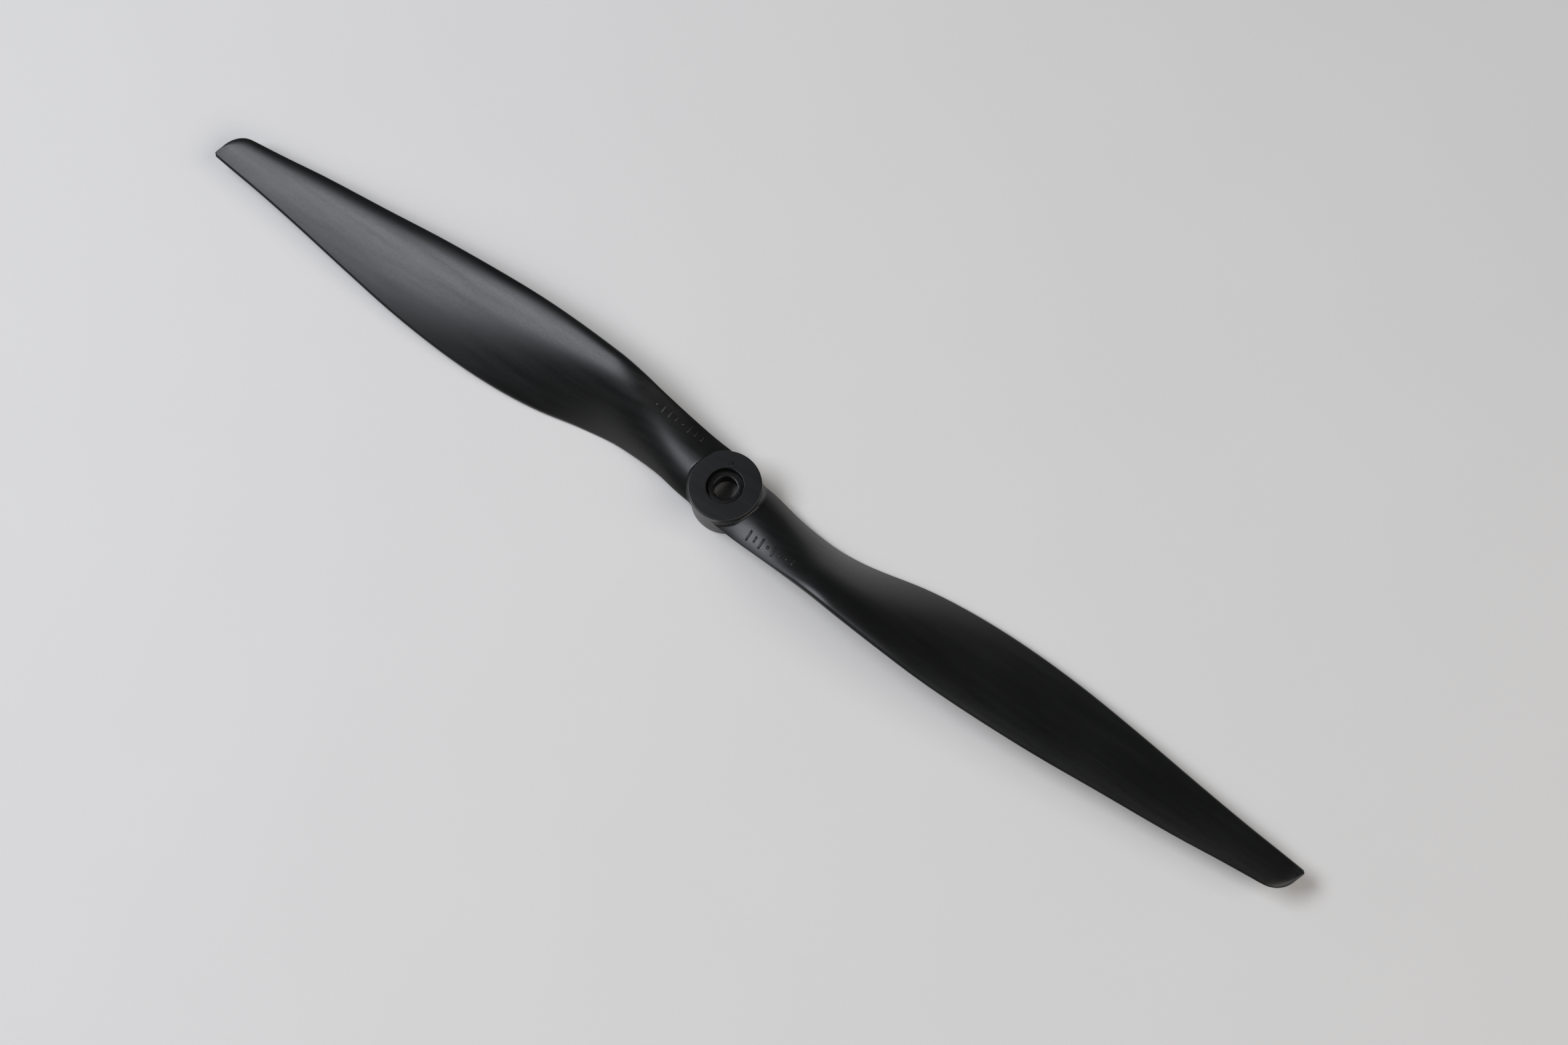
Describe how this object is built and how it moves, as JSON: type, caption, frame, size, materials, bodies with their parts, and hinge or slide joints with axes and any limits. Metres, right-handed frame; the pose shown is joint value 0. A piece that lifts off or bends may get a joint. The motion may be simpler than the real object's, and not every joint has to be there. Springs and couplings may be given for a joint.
{
  "type": "model aircraft propeller",
  "caption": "Fixed-pitch model aircraft propeller: twisted airfoil blades on a round hub with a stepped bore, raised index marks and a lift-out shaft adapter ring.",
  "frame": {"origin": "middle of the hub on the shaft's axis, halfway along the hole in the hub's web", "axes": "+Z out of the front face along the shaft, +X along the first blade"},
  "size_m": [0.3556, 0.0304, 0.0163],
  "materials": {
    "moulded_nylon": "satin black glass-filled nylon",
    "ring_nylon": "smooth black nylon"
  },
  "bodies": {
    "moulding": {"hub": "moulded_nylon", "blade_1": "moulded_nylon", "blade_2": "moulded_nylon", "marks_1": "moulded_nylon", "marks_2": "moulded_nylon"},
    "ring": {"adapter_ring": "ring_nylon"}
  },
  "joints": [
    {"name": "ring_lift", "type": "slide", "parent": "moulding", "child": "ring", "axis": [0, 0, 1], "range_m": [0, 0.008]}
  ]
}
